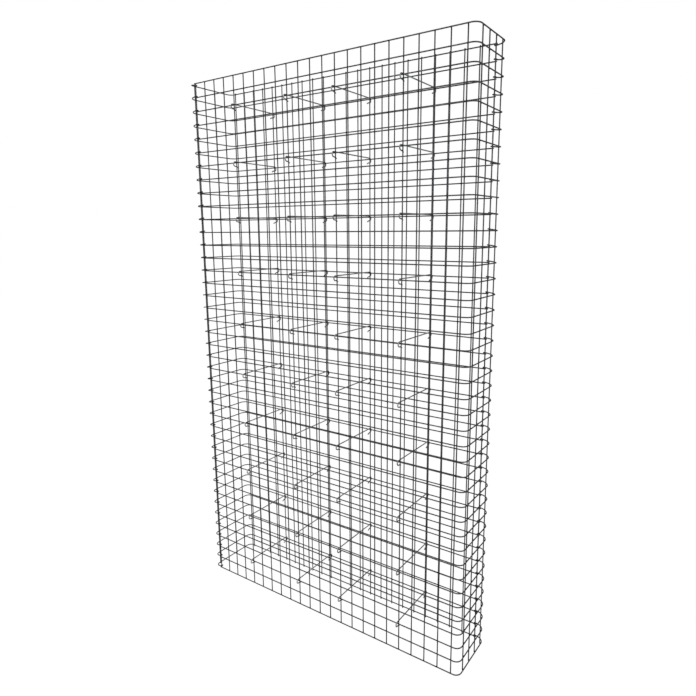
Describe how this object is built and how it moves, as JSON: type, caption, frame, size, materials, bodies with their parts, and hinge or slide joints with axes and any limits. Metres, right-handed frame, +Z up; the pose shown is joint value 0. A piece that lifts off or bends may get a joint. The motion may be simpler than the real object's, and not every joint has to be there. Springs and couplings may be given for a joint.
{
  "type": "gabion basket",
  "caption": "Tall narrow gabion basket of welded wire mesh, open at top and bottom, with rounded upright corners and hooked spacer wires from face to back.",
  "frame": {"origin": "middle of the footprint, on the ground", "axes": "+X along the face, to the right as the face is looked at; +Y from the face to the back; +Z up"},
  "size_m": [1.166, 0.232, 2.006],
  "materials": {
    "mesh_wire": "zinc-coated welded wire, dull",
    "spacer_wire": "zinc-coated drawn wire, dull"
  },
  "bodies": {
    "root": {"face_sheet_uprights": "mesh_wire", "face_sheet_line_wires": "mesh_wire", "back_sheet_uprights": "mesh_wire", "back_sheet_line_wires": "mesh_wire", "spacer_row_2_upright_5": "spacer_wire", "spacer_row_2_upright_10": "spacer_wire", "spacer_row_2_upright_14": "spacer_wire", "spacer_row_2_upright_19": "spacer_wire", "spacer_row_6_upright_5": "spacer_wire", "spacer_row_6_upright_10": "spacer_wire", "spacer_row_6_upright_14": "spacer_wire", "spacer_row_6_upright_19": "spacer_wire", "spacer_row_10_upright_5": "spacer_wire", "spacer_row_10_upright_10": "spacer_wire", "spacer_row_10_upright_14": "spacer_wire", "spacer_row_10_upright_19": "spacer_wire", "spacer_row_14_upright_5": "spacer_wire", "spacer_row_14_upright_10": "spacer_wire", "spacer_row_14_upright_14": "spacer_wire", "spacer_row_14_upright_19": "spacer_wire", "spacer_row_18_upright_5": "spacer_wire", "spacer_row_18_upright_10": "spacer_wire", "spacer_row_18_upright_14": "spacer_wire", "spacer_row_18_upright_19": "spacer_wire", "spacer_row_22_upright_5": "spacer_wire", "spacer_row_22_upright_10": "spacer_wire", "spacer_row_22_upright_14": "spacer_wire", "spacer_row_22_upright_19": "spacer_wire", "spacer_row_26_upright_5": "spacer_wire", "spacer_row_26_upright_10": "spacer_wire", "spacer_row_26_upright_14": "spacer_wire", "spacer_row_26_upright_19": "spacer_wire", "spacer_row_30_upright_5": "spacer_wire", "spacer_row_30_upright_10": "spacer_wire", "spacer_row_30_upright_14": "spacer_wire", "spacer_row_30_upright_19": "spacer_wire", "spacer_row_34_upright_5": "spacer_wire", "spacer_row_34_upright_10": "spacer_wire", "spacer_row_34_upright_14": "spacer_wire", "spacer_row_34_upright_19": "spacer_wire", "spacer_row_38_upright_5": "spacer_wire", "spacer_row_38_upright_10": "spacer_wire", "spacer_row_38_upright_14": "spacer_wire", "spacer_row_38_upright_19": "spacer_wire"}
  },
  "joints": []
}
